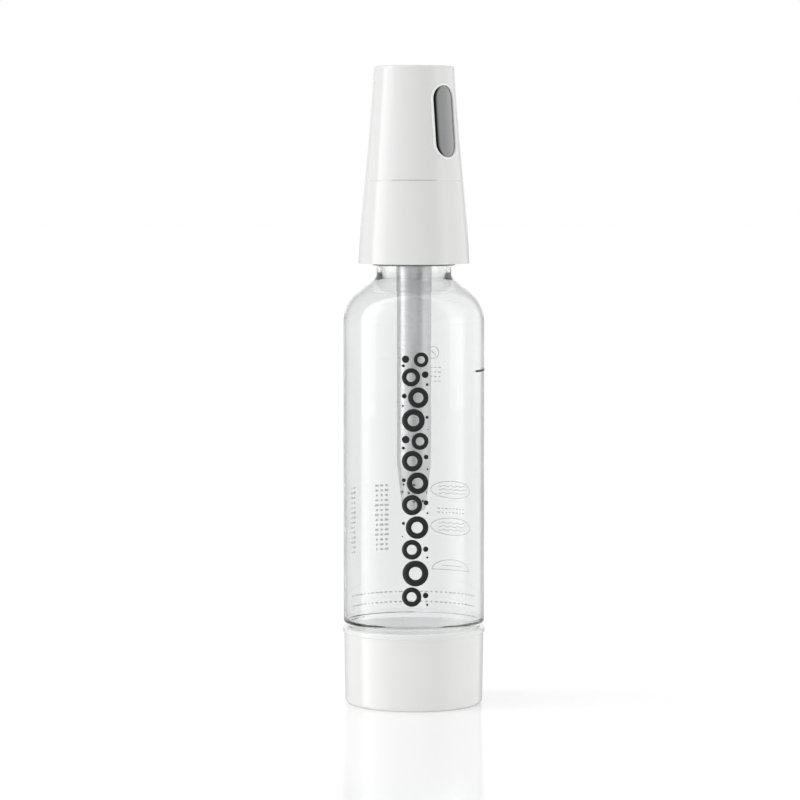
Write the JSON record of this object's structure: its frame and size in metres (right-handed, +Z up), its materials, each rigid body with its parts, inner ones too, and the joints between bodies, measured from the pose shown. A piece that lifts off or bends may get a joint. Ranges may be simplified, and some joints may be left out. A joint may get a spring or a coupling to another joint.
{
  "type": "soda carbonator",
  "caption": "Handheld soda carbonator: a clear bottle in a base cup, under a tapered screw-on head that has a gas wand and a screw-off charger cap with an oval window.",
  "frame": {"origin": "centre of the base cup's foot, on the surface that it stands on", "axes": "+Z up along the bottle's axis; -Y is the front, and the window is 45 degrees round from it towards +X"},
  "size_m": [0.0848, 0.0848, 0.38],
  "materials": {
    "clear_bottle": "clear, polished",
    "white_plastic": "polished",
    "dark_plastic": "fine matt",
    "smoke_window": "tinted, polished",
    "aluminium": "turned, then brushed around the axis",
    "charger_steel": "drawn and zinc bright",
    "steel": "plain bright",
    "brass": "turned",
    "rubber": "matt",
    "nylon": "plain"
  },
  "bodies": {
    "bottle": {"bottle": "clear_bottle", "base_cup": "white_plastic"},
    "neck_seal": {"neck_seal": "rubber"},
    "slip_washer": {"slip_washer": "nylon"},
    "head": {"neck_nut": "dark_plastic", "nut_screws": "steel", "valve_body": "aluminium", "head_shell": "white_plastic", "shell_ring_nut": "nylon", "piercing_pin": "steel", "pin_retainer": "brass", "charger_seal": "rubber", "gas_filter": "steel", "pin_o_ring": "rubber", "check_plug": "brass", "check_spring": "steel", "relief_seat": "brass", "relief_spring": "steel", "wand_collar": "aluminium", "collar_o_ring": "rubber", "wand_tube": "aluminium", "wand_tip": "aluminium", "co2_charger": "charger_steel"},
    "check_ball": {"check_ball": "steel"},
    "relief_poppet": {"relief_poppet": "brass", "relief_pad": "rubber"},
    "charger_pad": {"charger_pad": "rubber"},
    "thrust_disc": {"thrust_disc": "nylon"},
    "charger_cap": {"cap_shell": "white_plastic", "charger_sleeve": "dark_plastic", "cap_screws": "steel", "window_lens": "smoke_window"}
  },
  "joints": [
    {"name": "head_lift", "type": "slide", "parent": "bottle", "child": "neck_seal", "axis": [0, 0, 1], "range_m": [0, 0.18]},
    {"name": "head_climb", "type": "slide", "parent": "neck_seal", "child": "slip_washer", "axis": [0, 0, 1], "range_m": [0, 0.0066]},
    {"name": "head_turn", "type": "hinge", "parent": "slip_washer", "child": "head", "pos_m": [0, 0, 0.2858], "axis": [0, 0, 1], "range_deg": [0, 720]},
    {"name": "check_open", "type": "slide", "parent": "head", "child": "check_ball", "axis": [0, 0, -1], "range_m": [0, 0.0015], "stiffness_N_per_m": 100, "springref_m": -0.0015, "deforming": ["check_spring"]},
    {"name": "relief_open", "type": "slide", "parent": "head", "child": "relief_poppet", "axis": [0, 0, 1], "range_m": [0, 0.0012], "stiffness_N_per_m": 800, "springref_m": -0.0025, "deforming": ["relief_spring"]},
    {"name": "cap_lift", "type": "slide", "parent": "head", "child": "charger_pad", "axis": [0, 0, 1], "range_m": [0, 0.07]},
    {"name": "cap_climb", "type": "slide", "parent": "charger_pad", "child": "thrust_disc", "axis": [0, 0, 1], "range_m": [0, 0.0062]},
    {"name": "cap_turn", "type": "hinge", "parent": "thrust_disc", "child": "charger_cap", "pos_m": [0, 0, 0.3124], "axis": [0, 0, 1], "range_deg": [0, 1080]}
  ],
  "couplings": [
    {"joint": "head_climb", "follows": "head_turn", "m_per_rad": 0.0005093},
    {"joint": "cap_climb", "follows": "cap_turn", "m_per_rad": 0.00031831}
  ]
}
